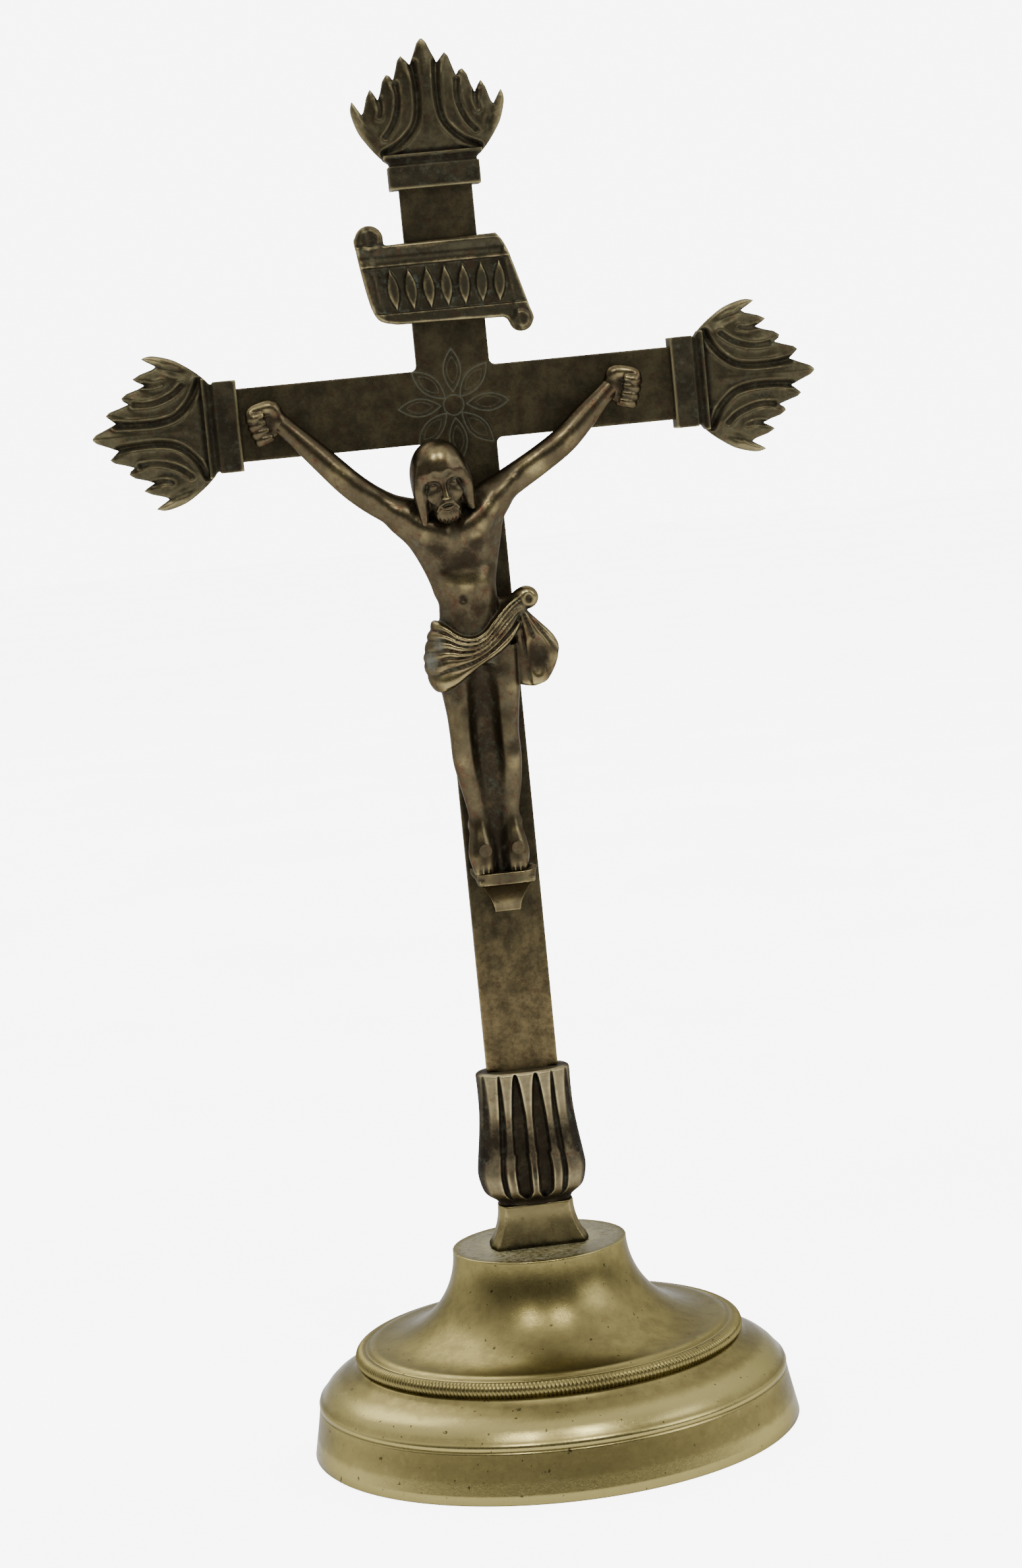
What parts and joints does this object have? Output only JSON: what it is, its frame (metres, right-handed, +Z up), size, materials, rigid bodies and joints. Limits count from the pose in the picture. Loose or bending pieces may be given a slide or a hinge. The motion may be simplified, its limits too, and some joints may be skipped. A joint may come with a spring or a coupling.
{
  "type": "altar cross",
  "caption": "Standing brass altar cross: nailed figure, palmette finials, title scroll with leaves, fluted oval knop and a turned hollow foot.",
  "frame": {"origin": "centre of the foot's underside, on the table", "axes": "+Z up along the stem, the figure faces -Y, +X to the viewer's right"},
  "size_m": [0.134, 0.092, 0.261],
  "materials": {
    "foot_brass": "satin, worn and lightly stained",
    "stem_brass": "polished high points, black recesses",
    "cross_brass": "dark brown patina with green tarnish",
    "scroll_brass": "dark patina with worn bright edges",
    "figure_brass": "warm brown patina, polished high points",
    "nail_brass": "dull patina",
    "fastener_iron": "dark, lightly rusted"
  },
  "bodies": {
    "root": {"foot_shell": "foot_brass", "tie_nut": "fastener_iron", "tie_washer": "fastener_iron", "tie_stud": "fastener_iron", "stem_plinth": "stem_brass", "stem_knop": "stem_brass", "cross_bar": "cross_brass", "finial_top": "cross_brass", "finial_left": "cross_brass", "finial_right": "cross_brass", "title_scroll": "scroll_brass", "rear_rivets": "nail_brass", "foot_rest": "figure_brass", "corpus_body": "figure_brass", "corpus_arm_left": "figure_brass", "corpus_arm_right": "figure_brass", "hand_nails": "nail_brass", "foot_nails": "nail_brass"}
  },
  "joints": []
}
